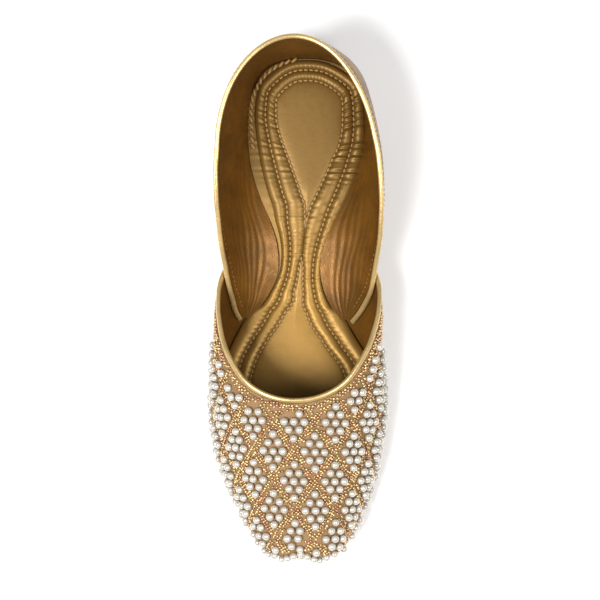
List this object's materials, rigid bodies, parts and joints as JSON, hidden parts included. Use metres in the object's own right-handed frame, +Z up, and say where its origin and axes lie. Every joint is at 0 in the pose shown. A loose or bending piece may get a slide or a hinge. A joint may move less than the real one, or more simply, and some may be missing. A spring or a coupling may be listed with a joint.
{
  "type": "flat shoe",
  "caption": "Right-foot slip-on flat with a beaded closed vamp, a separate leather quarter, a padded insole, a moulded sole with a squared toe and a low heel.",
  "frame": {"origin": "on the floor under the middle of the shoe's box", "axes": "+X to the toe, +Y to the big-toe side, +Z up"},
  "size_m": [0.2514, 0.0842, 0.0645],
  "materials": {
    "sole": "satin moulded rubber",
    "insole": "soft metallic gold",
    "quarter": "metallic gold",
    "vamp": "tan cloth under pearls and seed beads",
    "binding": "bright metallic gold",
    "pearl": "ivory pearl",
    "seed_bead": "glossy gold"
  },
  "bodies": {
    "root": {"outsole": "sole", "heel": "sole", "insole": "insole", "quarter": "quarter", "vamp": "vamp", "quarter_binding": "binding", "vamp_binding": "binding"}
  },
  "joints": []
}
